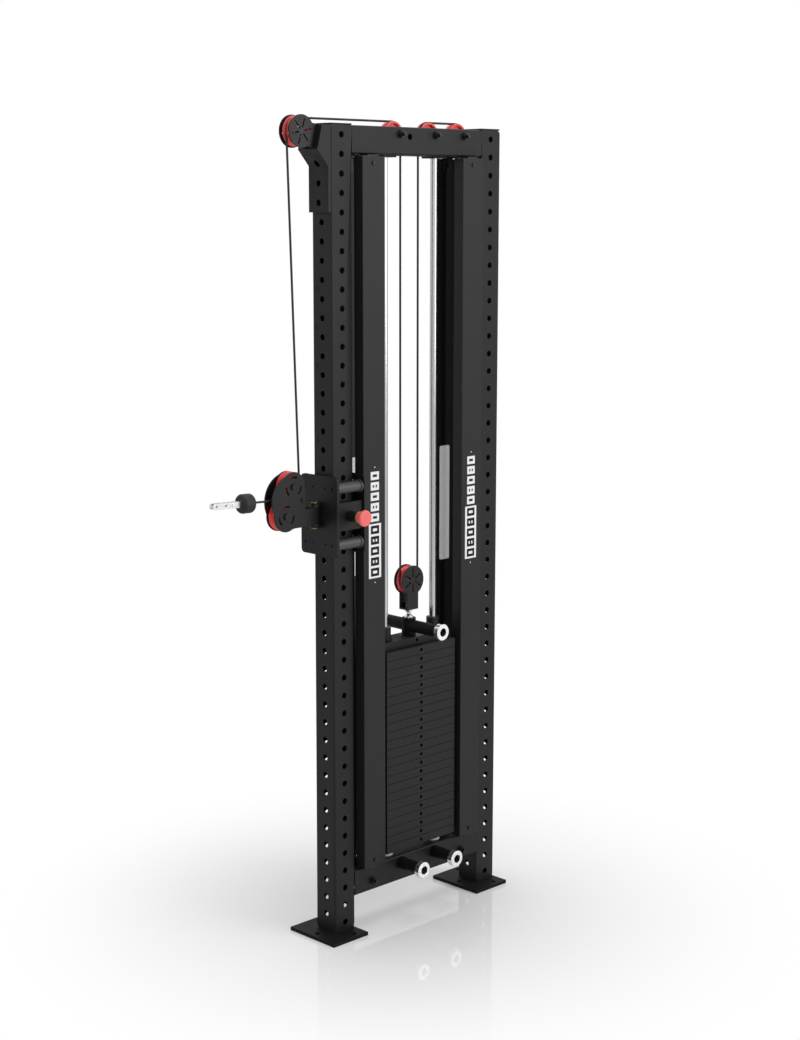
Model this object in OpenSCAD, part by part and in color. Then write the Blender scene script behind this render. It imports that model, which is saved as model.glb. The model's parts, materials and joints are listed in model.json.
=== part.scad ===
// Single pulley column: a weight stack between two punched uprights, one cable and a sliding pulley carriage.
// X runs along the beams, front is -Y, Z is up, and the origin is on the floor between the uprights.

/* [Frame] */
// Length of each upright tube
upright_h = 2200; // [2100:50:2400]
// Width and depth of the upright and beam tubes
tube_w = 75; // [70:1:80]
// Wall of the upright and beam tubes
tube_wall = 3; // [2:0.5:4]
// Distance between the axes of the two uprights
upright_span = 572; // [560:2:600]
// Diameter of the adjustment holes
hole_d = 17; // [16.5:0.5:20]
// Pitch of the adjustment holes
hole_pitch = 50; // [50:1:60]
// Height of the lowest front hole above the foot of the tube
first_hole = 25; // [20:1:35]
// Thickness of the foot plates
foot_t = 10; // [6:1:16]
// How far a foot plate runs past the tube, front and back
foot_side = 52.5; // [45:0.5:70]
// How far a foot plate runs past the tube on its left side
foot_out = 54.5; // [45:0.5:70]
// Diameter of the floor anchor holes
anchor_d = 14; // [10:0.5:18]
// Distance from the tube's face to an anchor hole
anchor_out = 34; // [20:1:36]
// Thickness of the upright end caps
cap_t = 4; // [2:0.5:8]
// Height of each beam
beam_h = 75; // [72:1:90]
// Floor to the underside of the bottom beam
bottom_beam_z = 100; // [90:1:120]

/* [Pulleys and cable] */
// Diameter of the cable
cable_d = 6; // [4:0.5:6.5]
// Outer diameter of the pulleys in the blocks and the swivel
pulley_d = 79; // [78:0.5:80]
// Outer diameter of the pulleys in the beams
beam_rim_d = 70; // [69.5:0.5:74]
// Width of a pulley
pulley_w = 20; // [18:0.5:22]
// Radius at which the middle of the cable runs round a pulley
run_r = 34; // [32:0.5:35]
// Diameter of the pulley axles
axle_d = 12; // [10:0.5:13]
// Outer diameter of the pulley bearings
bearing_d = 28; // [24:1:32]
// Thickness of the side plates of a pulley block
cheek_t = 4; // [3:0.5:5]
// Gap between a pulley and a side plate
cheek_gap = 3; // [1:0.1:4]
// Gap between the outer top pulley and its side plates
outer_cheek_gap = 6.4; // [3:0.1:8]
// Diameter of the round head of a side plate
cheek_d = 84; // [82:1:88]
// Top of the top beam down to its pulley axles
top_axle_drop = 19; // [18:0.5:22]
// Underside of the bottom beam up to its pulley axles
bottom_axle_up = 28; // [24:0.5:30]
// Upright's inner face to the axle of the outermost beam pulleys
side_pulley_gap = 68.5; // [62:0.5:76]
// Upright's outer face to the axle of the outer top pulley
outer_reach = 85; // [81:0.5:95]

/* [Weight stack] */
// Number of weight plates under the head plate
plate_count = 23; // [10:1:24]
// Height of one plate with its gap
plate_pitch = 25.4; // [25:0.1:26]
// Gap between two plates
plate_gap = 1.2; // [0.6:0.1:1.6]
// Gap between the weight plates and the shrouds
stack_side_gap = 15; // [11:0.5:20]
// Depth of the weight plates
plate_depth = 102; // [90:1:110]
// Gap between the bottom beam and the lowest plate
stack_gap = 21; // [18:1:30]
// Distance from the middle to each guide rod
rod_x = 96; // [90:1:100]
// Diameter of the guide rods
rod_d = 20; // [16:0.5:25]
// How far the head plate's ends stay back from the weight plates' ends
head_inset = 2; // [1:0.5:10]
// Depth of the head plate
head_depth = 67; // [55:1:90]
// Thickness of the head plate
head_t = 22; // [16:1:26]
// Diameter of the selector stem
stem_d = 25; // [20:0.5:28]
// Diameter of the selector holes
selector_d = 10; // [7:0.5:11]
// Diameter of the hub that carries the horn bar
hub_d = 40; // [40:1:56]
// Height of the hub
hub_h = 50; // [50:1:60]
// Height of the floating pulley's axle above its block's underside
float_rise = 84; // [70:1:100]

/* [Plate horns] */
// Diameter of a horn tube
horn_d = 35; // [30:0.5:38]
// Reach of the head's horns from the middle
horn_reach = 136; // [120:1:150]
// Reach of the bottom beam's horns from its front face
peg_reach = 93; // [70:1:120]
// Distance from the middle to each bottom horn
peg_x = 67; // [50:1:85]
// Outer diameter of a horn's end ring
ring_d = 46; // [44:1:60]

/* [Shrouds] */
// Width of a shroud
shroud_w = 80.5; // [70:0.5:82]
// Gap between an upright and the shrouds
shroud_side_gap = 16.5; // [16:0.5:20]
// Front shroud's face ahead of the beams' faces
shroud_ahead = 22.5; // [20:0.5:30]
// Depth of the front shroud's side walls
shroud_return = 34; // [25:1:36]
// Depth of the rear shroud's lips
rear_lip = 10; // [6:1:20]
// Sheet thickness of the shrouds
sheet_t = 2; // [1:0.5:2.5]
// Gap between a shroud's end and a beam
shroud_end_gap = 4; // [3.5:0.5:10]

/* [Carriage] */
// Number of the adjustment hole that the carriage stands at
carriage_hole = 23; // [14:1:30]
// Height of the carriage plates
carriage_h = 216; // [212:1:222]
// Depth of the carriage plates
carriage_depth = 143; // [142:1:150]
// Thickness of the outer carriage plate
outer_plate_t = 8; // [6:0.5:10]
// Gap between the outer plate and the upright
outer_gap = 8.5; // [7:0.5:10]
// Thickness of the inner carriage plate
inner_plate_t = 5; // [4:0.5:5]
// Gap between the inner plate and the upright
inner_gap = 8; // [6:0.5:8]
// Diameter of the rollers
roller_d = 30; // [24:1:32]
// Distance of the roller axles above and below the carriage's middle
roller_dz = 76; // [70:1:80]
// Running gap between a roller and the upright
roller_gap = 0.5; // [0.3:0.1:1]
// Diameter of the roller pins
roller_pin_d = 10; // [8:0.5:12]
// Diameter of the pop pin
pin_d = 16; // [12:0.5:16]
// Travel of the pop pin
pin_travel = 9; // [7:0.5:12]
// Diameter of the pop pin's red knob
knob_d = 44; // [36:1:50]
// Swivel axis ahead of the outer carriage plate
swivel_out = 15; // [14.5:0.5:20]
// Diameter of the swivel barrel
barrel_d = 26; // [24:0.5:28]
// Swivel axis to the lower pulley's axle
lower_pulley_out = 115; // [112:0.5:125]
// Swivel axis to the upper pulley's axle
upper_pulley_out = 89; // [86:0.5:92.5]
// Carriage's middle up to the upper pulley's axle
upper_pulley_up = 90; // [89.5:0.5:95]
// Carriage's middle up to the lower pulley's axle
lower_pulley_up = 14; // [12:0.5:14.5]
// Upward slope of the cable's tail in degrees
tail_slope = 2; // [0:0.5:4]
// Length of the tail between the pulley and the ball stop
tail_len = 131; // [110:1:200]
// Diameter of the ball stop
ball_d = 51; // [40:1:60]
// Length of the ball stop
ball_len = 38; // [34:1:50]
// Length of the end link
link_len = 94; // [80:1:120]

/* [Hidden] */
$fn = 64;

// Clearances
run_gap = 0.05;
air = 0.3;

// Places on the frame
axis_x = upright_span / 2;
face_x = axis_x - tube_w / 2;
outer_x = axis_x + tube_w / 2;
half_w = tube_w / 2;
column_top = foot_t + upright_h;
top_beam_z = column_top - beam_h;
bottom_beam_top = bottom_beam_z + beam_h;
front_z0 = foot_t + first_hole;
side_z0 = front_z0 + hole_pitch / 2;
front_holes = floor((upright_h - first_hole - hole_d) / hole_pitch) + 1;
side_holes = floor((upright_h - first_hole - hole_pitch / 2 - hole_d) / hole_pitch) + 1;

// Places of the pulleys, whose axes all lie along Y
inner_half = pulley_w / 2 + cheek_gap;
cheek_y = inner_half + cheek_t;
outer_half = pulley_w / 2 + outer_cheek_gap;
top_axle_z = column_top - top_axle_drop;
bottom_axle_z = bottom_beam_z + bottom_axle_up;
beam_pulley_x = 2 * run_r;
side_pulley_x = face_x - side_pulley_gap;
outer_pulley_x = -(outer_x + outer_reach);
nut_h = 8;
bolt_tip = 9;
spare_drop = 25.5;
nut_af = 19;
washer_d = 24;
washer_t = 1.5;
pulley_room = beam_rim_d / 2 + 3;
cable_hole_d = cable_d + 12;

// Places on the weight stack
stack_z = bottom_beam_top + stack_gap;
plate_t = plate_pitch - plate_gap;
head_z = stack_z + plate_count * plate_pitch;
head_top = head_z + head_t;
hub_top = head_top + hub_h;
horn_z = head_top + hub_h * 0.56;
horn_wall = 3;
bushing_d = rod_d + 24;
bushing_h = 38;
seat_t = 5;
stud_h = 25;
float_z = hub_top + stud_h + float_rise;
block_web_t = 5;
block_w = 42;

// Places of the shrouds
shroud_x1 = face_x - shroud_side_gap;
shroud_x0 = shroud_x1 - shroud_w;
shroud_mid = (shroud_x0 + shroud_x1) / 2;
plate_w = 2 * (shroud_x0 - stack_side_gap);
head_w = plate_w - 2 * head_inset;
shroud_y = -(half_w + shroud_ahead);
rear_y = half_w + 3.5;
shroud_z0 = bottom_beam_top + shroud_end_gap;
shroud_z1 = top_beam_z - shroud_end_gap;
tab_w = 40;
tab_h = 42;
tab_t = 3;
screw_up = 18;
placard_z0 = 990;
placard_z1 = 1322;
placard_w = 39;
placard_x = shroud_x0 + 14.5;
placard_t = 1.5;

// Places on the carriage, measured from its middle
carriage_z = front_z0 + carriage_hole * hole_pitch;
plate_outer_x = -(outer_x + outer_gap + outer_plate_t);
plate_inner_x = -(face_x - inner_gap - inner_plate_t);
span_x0 = plate_outer_x + outer_plate_t;
span_x1 = plate_inner_x - inner_plate_t;
roller_y = half_w + roller_gap + roller_d / 2;
bridge_t = 8;
bridge_y = -(half_w + 18.5);
bridge_h = 76;
side_screw_y = 24;
set_screw_len = 8;
barrel_wall = 2.5;
pin_tip_y = -(half_w + 1);
pin_stem_d = pin_d - 4;
collar_t = 3;
spring_len = 8.5;
pin_barrel_d = 30;
nose_d = 20;
skirt_d = 28;
// Places along the pop pin, counted forwards from the bridge
seat_y = bridge_y - bridge_t;
collar_y = seat_y - pin_travel - 0.5;
cavity_y = collar_y - collar_t - spring_len;
nose_root_y = cavity_y - barrel_wall;
nose_y = nose_root_y - pin_travel - 0.5;
skirt_y = nose_y - 0.5;
skirt_len = pin_travel + 8;
knob_y = skirt_y - skirt_len;
knob_len = 12;
swivel_x = plate_outer_x - swivel_out;
barrel_z0 = carriage_z - 22;
barrel_z1 = carriage_z + 27;
arm_z0 = barrel_z0 + 1;
arm_z1 = barrel_z1 - 1;
arm_short = 4;
root_len = 18;
throat_w = 41;
flange_d = roller_d + 6;
pad_h = 30;
lug_t = 7;
washer_h = 1.5;
hinge_d = 12;
upper_x = swivel_x - upper_pulley_out;
upper_z = carriage_z + upper_pulley_up;
lower_x = swivel_x - lower_pulley_out;
lower_z = carriage_z + lower_pulley_up;
anchor_x = -(side_pulley_x + run_r);
anchor_z = carriage_z - 10;
anchor_t = 8;

// A round bar along Y, from y0 to y1
module ybar(d, y0, y1, x = 0, z = 0) {
    translate([x, y0, z]) rotate([-90, 0, 0]) cylinder(d = d, h = y1 - y0);
}

// A round bar along X, from x0 to x1
module xbar(d, x0, x1, y = 0, z = 0) {
    translate([x0, y, z]) rotate([0, 90, 0]) cylinder(d = d, h = x1 - x0);
}

// A flat plate drawn in X and Z, from y0 to y0 + t
module xz_plate(y0, t) {
    translate([0, y0 + t, 0]) rotate([90, 0, 0]) linear_extrude(t) children();
}

// A flat plate drawn in Y and Z, from x0 to x0 + t
module yz_plate(x0, t) {
    translate([x0, 0, 0]) rotate([90, 0, 90]) linear_extrude(t) children();
}

// A rectangle with round corners, centred
module round_rect(w, h, r) {
    square([w - 2 * r, h], center = true);
    square([w, h - 2 * r], center = true);
    for (sx = [-1, 1], sy = [-1, 1])
        translate([sx * (w / 2 - r), sy * (h / 2 - r)]) circle(r);
}

// Both sides of the column
module both_sides() {
    children();
    mirror([1, 0, 0]) children();
}

// Frame
module upright(x) {
    color("#2b2c2e") difference() {
        translate([x - half_w, -half_w, foot_t]) cube([tube_w, tube_w, upright_h]);
        translate([x - half_w + tube_wall, -half_w + tube_wall, foot_t - 1])
            cube([tube_w - 2 * tube_wall, tube_w - 2 * tube_wall, upright_h + 2]);
        for (k = [0 : front_holes - 1])
            ybar(hole_d, -half_w - 1, half_w + 1, x, front_z0 + k * hole_pitch);
        for (k = [0 : side_holes - 1])
            xbar(hole_d, x - half_w - 1, x + half_w + 1, 0, side_z0 + k * hole_pitch);
    }
}

module foot(x) {
    side_y = half_w + anchor_out;
    difference() {
        translate([x - half_w - foot_out, -half_w - foot_side, 0])
            cube([tube_w + foot_out, tube_w + 2 * foot_side, foot_t]);
        for (p = [[x, -side_y], [x, side_y], [x - side_y, 0]])
            translate([p[0], p[1], -1]) cylinder(d = anchor_d, h = foot_t + 2);
    }
}

module feet() {
    color("#2b2c2e") for (x = [-axis_x, axis_x]) foot(x);
}

module upright_caps() {
    color("#1d1d1f") for (x = [-axis_x, axis_x]) {
        translate([x - half_w, -half_w, column_top]) cube([tube_w, tube_w, cap_t]);
        translate([x - half_w + tube_wall + air, -half_w + tube_wall + air, column_top - 8])
            cube([tube_w - 2 * (tube_wall + air), tube_w - 2 * (tube_wall + air), 8]);
    }
}

module beam_tube(z) {
    difference() {
        translate([-face_x, -half_w, z]) cube([2 * face_x, tube_w, beam_h]);
        translate([-face_x - 1, -half_w + tube_wall, z + tube_wall])
            cube([2 * face_x + 2, tube_w - 2 * tube_wall, beam_h - 2 * tube_wall]);
    }
}

module top_beam() {
    color("#2b2c2e") difference() {
        beam_tube(top_beam_z);
        for (x = [-beam_pulley_x, beam_pulley_x, side_pulley_x]) {
            translate([x - pulley_room, -cheek_y, column_top - tube_wall - 1])
                cube([2 * pulley_room, 2 * cheek_y, tube_wall + 2]);
            ybar(axle_d + 2 * run_gap, -half_w - 1, half_w + 1, x, top_axle_z);
        }
        for (x = [-run_r, run_r, side_pulley_x + run_r])
            translate([x, 0, top_beam_z - 1]) cylinder(d = cable_hole_d, h = tube_wall + 2);
        ybar(hole_d, -half_w - 1, -half_w + tube_wall + 1, -beam_pulley_x / 2, column_top - spare_drop);
    }
}

module bottom_beam() {
    color("#2b2c2e") difference() {
        beam_tube(bottom_beam_z);
        for (x = [-side_pulley_x, side_pulley_x]) {
            translate([x - pulley_room, -cheek_y, bottom_beam_z - 1])
                cube([2 * pulley_room, 2 * cheek_y, tube_wall + 2]);
            ybar(axle_d + 2 * run_gap, -half_w - 1, half_w + 1, x, bottom_axle_z);
            translate([x + sign(x) * run_r, 0, bottom_beam_top - tube_wall - 1])
                cylinder(d = cable_hole_d, h = tube_wall + 2);
        }
    }
}

// Bracket that carries the outer top pulley
arm_tilt = 15;
mount_gap = pulley_d / 2 + 9;
mount_x = outer_pulley_x + mount_gap * cos(arm_tilt);
mount_z = top_axle_z - mount_gap * sin(arm_tilt);
mount_up = (column_top - 1 - mount_z) / cos(arm_tilt);
mount_down = 33.5;
bracket_t = 4;
bracket_step = 10;
knee_room = 20;
bracket_h = 225;
knee_drop = 106;
bracket_low = column_top - bracket_h;
bracket_knee = column_top - knee_drop;
mount_top = [mount_x + mount_up * sin(arm_tilt), column_top - 1];
mount_low = [mount_x - mount_down * sin(arm_tilt), mount_z - mount_down * cos(arm_tilt)];

module bracket_outline(inset = 0) {
    polygon([[-outer_x, column_top - 1], [mount_top[0] + inset, column_top - 1],
        [mount_low[0] + inset, mount_low[1] + inset / 2], [-outer_x - bracket_step + inset, bracket_knee],
        [-outer_x - bracket_step + inset, bracket_low], [-outer_x, bracket_low]]);
}

module pulley_bracket() {
    color("#2b2c2e") {
        for (y = [-half_w, half_w - bracket_t]) xz_plate(y, bracket_t) bracket_outline();
        difference() {
            xz_plate(-half_w, tube_w) bracket_outline();
            xz_plate(-half_w - 1, tube_w + 2) bracket_outline(bracket_t);
            for (k = [0 : side_holes - 1])
                xbar(hole_d, -outer_x - bracket_step - knee_room, -outer_x + 1, 0, side_z0 + k * hole_pitch);
        }
    }
}

// Round head of a block's side plate, with its six slots
module cheek_slots(turn) {
    for (k = [0 : 5]) rotate(turn + 60 * k) translate([9, -2]) square([25, 4]);
}

module top_pulley_block() {
    color("#242527") for (y = [-outer_half - cheek_t, outer_half])
        xz_plate(y, cheek_t) translate([outer_pulley_x, top_axle_z]) difference() {
            union() {
                circle(d = cheek_d);
                rotate(-arm_tilt) translate([0, -mount_down + 3]) square([mount_gap - 2 * run_gap, 2 * mount_down - 6]);
            }
            cheek_slots(11);
            circle(d = axle_d + 2 * run_gap);
        }
}

// Shrouds and their fixings
module front_shroud() {
    translate([shroud_x0, shroud_y, shroud_z0]) difference() {
        cube([shroud_w, shroud_return, shroud_z1 - shroud_z0]);
        translate([sheet_t, sheet_t, -1])
            cube([shroud_w - 2 * sheet_t, shroud_return, shroud_z1 - shroud_z0 + 2]);
        for (z = [screw_up, shroud_z1 - shroud_z0 - screw_up])
            ybar(6.4, -1, sheet_t + 1, shroud_w / 2, z);
    }
}

module front_shrouds() {
    color("#303133") both_sides() front_shroud();
}

module rear_shroud() {
    translate([shroud_x0, rear_y, shroud_z0]) difference() {
        cube([shroud_w, rear_lip + sheet_t, shroud_z1 - shroud_z0]);
        translate([sheet_t, sheet_t, -1])
            cube([shroud_w - 2 * sheet_t, rear_lip + sheet_t, shroud_z1 - shroud_z0 + 2]);
        for (z = [screw_up, shroud_z1 - shroud_z0 - screw_up])
            ybar(6.4, -1, sheet_t + 1, shroud_w / 2, z);
    }
}

module rear_shrouds() {
    color("#303133") both_sides() rear_shroud();
}

// One angle tab: its foot lies on a beam and its leg backs a shroud
module tab(y_leg, y_foot, z_foot, up) {
    z_leg = up > 0 ? z_foot : z_foot - tab_h;
    z_seat = up > 0 ? z_foot : z_foot - tab_t;
    y0 = min(y_leg, y_foot);
    y1 = max(y_leg, y_foot);
    difference() {
        union() {
            translate([shroud_mid - tab_w / 2, y0, z_seat]) cube([tab_w, y1 - y0, tab_t]);
            translate([shroud_mid - tab_w / 2, y_leg - (y_leg > y_foot ? tab_t : 0), z_leg])
                cube([tab_w, tab_t, tab_h]);
        }
        ybar(6.4, y0 - 1, y1 + 1, shroud_mid, z_foot + up * (screw_up + shroud_end_gap));
    }
}

module shroud_screw(y_head, dir, z) {
    ybar(11, min(y_head, y_head + dir * 3.5), max(y_head, y_head + dir * 3.5), shroud_mid, z);
    ybar(6, min(y_head, y_head - dir * 9), max(y_head, y_head - dir * 9), shroud_mid, z);
}

module shroud_fixings() {
    y_front = shroud_y + sheet_t;
    color("#1d1d1f") both_sides() for (end = [[bottom_beam_top, 1], [top_beam_z, -1]]) {
        tab(y_front, -half_w + 22, end[0], end[1]);
        tab(rear_y, half_w - 22, end[0], end[1]);
        screw_z = end[0] + end[1] * (screw_up + shroud_end_gap);
        shroud_screw(shroud_y, -1, screw_z);
        shroud_screw(rear_y + sheet_t, 1, screw_z);
    }
}

module placards() {
    placard_h = placard_z1 - placard_z0;
    color("#b9bbbd") both_sides() {
        xz_plate(rear_y - placard_t, placard_t)
            translate([placard_x + placard_w / 2, placard_z0 + placard_h / 2])
                round_rect(placard_w, placard_h, 6);
        for (dx = [8, placard_w - 8], z = [placard_z0 + 9, placard_z1 - 9])
            ybar(5, rear_y - placard_t - 1, rear_y - placard_t, placard_x + dx, z);
    }
}

// Guide rods and what they stand in
module guide_rods() {
    color("#d9dadc") for (x = [-rod_x, rod_x])
        translate([x, 0, bottom_beam_top]) cylinder(d = rod_d, h = top_beam_z - bottom_beam_top);
}

module rod_seats() {
    color("#1d1d1f") for (x = [-rod_x, rod_x]) difference() {
        translate([x - 24, -24, top_beam_z - seat_t]) cube([48, 48, seat_t]);
        translate([x, 0, top_beam_z - seat_t - 1]) cylinder(d = rod_d + 2 * run_gap, h = seat_t + 2);
    }
}

module stack_bumpers() {
    color("#e6e6e2") for (x = [-rod_x, rod_x]) translate([x, 0, bottom_beam_top]) difference() {
        union() {
            cylinder(d = rod_d + 26, h = stack_gap / 2);
            translate([0, 0, stack_gap / 2]) cylinder(d = rod_d + 20, h = stack_gap / 2);
        }
        translate([0, 0, -1]) cylinder(d = rod_d + 2 * run_gap, h = stack_gap + 2);
    }
}

module weight_plate(z) {
    mid = z + plate_t / 2;
    difference() {
        translate([-plate_w / 2, -plate_depth / 2, z]) cube([plate_w, plate_depth, plate_t]);
        for (x = [-rod_x, rod_x]) translate([x, 0, z - 1]) cylinder(d = rod_d + 3, h = plate_t + 2);
        translate([0, 0, z - 1]) cylinder(d = stem_d + 2, h = plate_t + 2);
        ybar(selector_d, -plate_depth / 2 - 1, 0, 0, mid);
    }
}

module weight_plates() {
    color("#2f3032") for (k = [0 : plate_count - 1]) weight_plate(stack_z + k * plate_pitch);
}

// Cable pieces: a straight run between two points of the X-Z plane, and an arc round a pulley
module cable_run(a, b) {
    d = b - a;
    translate([a[0], 0, a[1]]) rotate([0, atan2(d[0], d[1]), 0]) cylinder(d = cable_d, h = norm(d), $fn = 24);
}

module cable_arc(c, from, to) {
    translate([c[0], 0, c[1]]) rotate([90, 0, 0]) rotate([0, 0, from])
        rotate_extrude(angle = to - from) translate([run_r, 0]) circle(d = cable_d, $fn = 24);
}

// The leaning run leaves the outer top pulley and meets the upper carriage pulley
lean_d = [outer_pulley_x - upper_x, top_axle_z - upper_z];
lean = atan2(lean_d[0], lean_d[1]) - asin(2 * run_r / norm(lean_d));
lean_a = [outer_pulley_x - run_r * cos(lean), top_axle_z + run_r * sin(lean)];
lean_b = [upper_x + run_r * cos(lean), upper_z - run_r * sin(lean)];

module cable_fixed_runs() {
    top_z = top_axle_z + run_r;
    low_z = bottom_axle_z - run_r;
    color("#0c0c0d") {
        cable_arc([outer_pulley_x, top_axle_z], 90, 180 - lean);
        cable_run([outer_pulley_x, top_z], [-beam_pulley_x, top_z]);
        cable_arc([-beam_pulley_x, top_axle_z], 0, 90);
        cable_arc([beam_pulley_x, top_axle_z], 90, 180);
        cable_run([beam_pulley_x, top_z], [side_pulley_x, top_z]);
        cable_arc([side_pulley_x, top_axle_z], 0, 90);
        cable_run([side_pulley_x + run_r, bottom_axle_z], [side_pulley_x + run_r, top_axle_z]);
        cable_arc([side_pulley_x, bottom_axle_z], -90, 0);
        cable_run([-side_pulley_x, low_z], [side_pulley_x, low_z]);
        cable_arc([-side_pulley_x, bottom_axle_z], -180, -90);
    }
}

module cable_stack_runs() {
    color("#0c0c0d") for (x = [-run_r, run_r]) cable_run([x, float_z], [x, top_axle_z]);
}

module cable_float_wrap() {
    color("#0c0c0d") cable_arc([0, float_z], -180, 0);
}

module cable_anchor_run() {
    color("#0c0c0d") cable_run([anchor_x, bottom_axle_z], [anchor_x, anchor_z - anchor_t / 2]);
}

module cable_carriage_run() {
    color("#0c0c0d") cable_run(lean_b, lean_a);
}

module cable_swivel_wrap() {
    color("#0c0c0d") cable_arc([upper_x, upper_z], -90 - tail_slope, -lean);
}

// The tail's own frame: origin where it leaves the upper pulley, X along the pull
module tail_frame() {
    translate([upper_x - run_r * sin(tail_slope), 0, upper_z - run_r * cos(tail_slope)])
        rotate([0, 180 + tail_slope, 0]) children();
}

module cable_tail() {
    color("#0c0c0d") tail_frame() rotate([0, 90, 0]) cylinder(d = cable_d, h = tail_len, $fn = 24);
}

module ball_stop() {
    color("#1a1a1b") tail_frame() translate([tail_len, 0, 0]) rotate([0, 90, 0]) rotate_extrude() difference() {
        union() {
            translate([0, 8]) square([ball_d / 2, ball_len - 16]);
            square([ball_d / 2 - 8, ball_len]);
            for (y = [8, ball_len - 8]) translate([ball_d / 2 - 8, y]) circle(8);
        }
        translate([-ball_d, -1]) square([ball_d, ball_len + 2]);
    }
}

// Two cheeks and a root, with a cross pin and two open eyes towards the tip
module end_link() {
    x0 = tail_len + ball_len;
    color("#dcdddd") tail_frame() {
        for (y = [-8, 5]) difference() {
            xz_plate(y, 3) union() {
                translate([x0 + link_len / 2 - 4, 0]) square([link_len - 8, 16], center = true);
                translate([x0 + link_len - 8, 0]) circle(8);
            }
            for (back = [12, 42]) ybar(7, y - 1, y + 4, x0 + link_len - back, 0);
        }
        translate([x0, -5, -8]) cube([14, 10, 16]);
        ybar(9, -10, -8, x0 + link_len - 66, 0);
        ybar(7, -8, 8, x0 + link_len - 66, 0);
        ybar(9, 8, 10, x0 + link_len - 66, 0);
    }
}

// Pulley with its ball bearing, on an axis along Y
module pulley(x, z, rim_d) {
    groove = cable_d / 2 + air + 0.1;
    rim = rim_d / 2;
    translate([x, 0, z]) rotate([90, 0, 0]) {
        rotate_extrude($fn = 96) difference() {
            translate([bearing_d / 2 + run_gap, -pulley_w / 2]) square([rim - bearing_d / 2 - run_gap, pulley_w]);
            translate([run_r, 0]) circle(groove, $fn = 32);
            polygon([[run_r, -groove], [rim + 1, -pulley_w * 0.36], [rim + 1, pulley_w * 0.36],
                [run_r, groove]]);
            for (s = [-1, 1]) translate([bearing_d / 2 + 4, s > 0 ? pulley_w / 2 - 4 : -pulley_w / 2 - 1])
                square([run_r - bearing_d / 2 - 10, 5]);
        }
        translate([0, 0, -pulley_w / 2]) difference() {
            cylinder(d = bearing_d, h = pulley_w);
            translate([0, 0, -1]) cylinder(d = axle_d + 2 * run_gap, h = pulley_w + 2);
        }
    }
}

module red_pulley(x, z, rim_d = pulley_d) {
    color("#d8202a") pulley(x, z, rim_d);
}

// Bolt along Y with its head behind and its nut in front
module axle_bolt(x, z, y_back, y_front) {
    y_nut = y_front - washer_t - nut_h;
    ybar(axle_d, y_nut - bolt_tip, y_back + nut_h, x, z);
    ybar(washer_d, y_front - washer_t, y_front, x, z);
    ybar(washer_d, y_back, y_back + washer_t, x, z);
    for (y = [y_nut, y_back + washer_t])
        translate([x, y, z]) rotate([-90, 0, 0]) cylinder(d = nut_af / cos(30), h = nut_h, $fn = 6);
}

// Riveted axle of a block, flush with its side plates, and the spacers beside the pulley
module block_axle(x, z, half) {
    ybar(axle_d, -half - cheek_t, half + cheek_t, x, z);
    for (s = [-1, 1]) ybar(axle_d + 7, min(s * (pulley_w / 2 + air), s * half),
        max(s * (pulley_w / 2 + air), s * half), x, z);
}

module beam_axles() {
    color("#161617") {
        for (p = [[-beam_pulley_x, top_axle_z], [beam_pulley_x, top_axle_z], [side_pulley_x, top_axle_z],
                [-side_pulley_x, bottom_axle_z], [side_pulley_x, bottom_axle_z]]) {
            axle_bolt(p[0], p[1], half_w, -half_w);
            for (s = [-1, 1]) ybar(axle_d + 7, min(s * (pulley_w / 2 + air), s * (half_w - tube_wall)),
                max(s * (pulley_w / 2 + air), s * (half_w - tube_wall)), p[0], p[1]);
        }
        block_axle(outer_pulley_x, top_axle_z, outer_half);
    }
}

// Horn parts along -Y, from the tube's root at y = 0 to the end cap's face at y = -reach
cap_ring = 18;
cap_plug = 14;
cap_wall = 2.5;

module horn_tube(reach) {
    rotate([90, 0, 0]) difference() {
        cylinder(d = horn_d, h = reach - cap_ring);
        translate([0, 0, 1]) cylinder(d = horn_d - 2 * horn_wall, h = reach);
    }
}

module horn_cap(reach) {
    edge = 1.5;
    plug_r = horn_d / 2 - horn_wall - run_gap;
    translate([0, -reach, 0]) rotate([-90, 0, 0]) difference() {
        union() {
            cylinder(d1 = ring_d - 2 * edge, d2 = ring_d, h = edge);
            translate([0, 0, edge]) cylinder(d = ring_d, h = cap_ring - 2 * edge);
            translate([0, 0, cap_ring - edge]) cylinder(d1 = ring_d, d2 = ring_d - 2 * edge, h = edge);
            cylinder(r = plug_r, h = cap_ring + cap_plug);
        }
        translate([0, 0, -1]) cylinder(r = plug_r - cap_wall, h = cap_ring + cap_plug + 2);
    }
}

module storage_pegs() {
    color("#1f2022") for (x = [-peg_x, peg_x])
        translate([x, -half_w, bottom_beam_top - 23]) horn_tube(peg_reach);
}

module storage_peg_caps() {
    color("#d6d7d8") for (x = [-peg_x, peg_x])
        translate([x, -half_w, bottom_beam_top - 23]) horn_cap(peg_reach);
}

// Head of the weight stack
module head_plate() {
    color("#2b2c2e") difference() {
        translate([-head_w / 2, -head_depth / 2, head_z]) cube([head_w, head_depth, head_t]);
        for (x = [-rod_x, rod_x]) translate([x, 0, head_z - 1]) cylinder(d = rod_d + 3, h = head_t + 2);
        translate([0, 0, head_z - 1]) cylinder(d = stem_d + 2 * run_gap, h = head_t + 2);
        ybar(selector_d, -head_depth / 2 - 1, 0, 0, head_z + plate_t / 2);
    }
}

module head_bushings() {
    color("#1a1a1b") for (x = [-rod_x, rod_x]) translate([x, 0, head_top]) difference() {
        union() {
            cylinder(d = bushing_d, h = 8);
            cylinder(d = bushing_d - 8, h = bushing_h);
        }
        translate([0, 0, -1]) cylinder(d = rod_d + 2 * run_gap, h = bushing_h + 2);
    }
}

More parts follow.
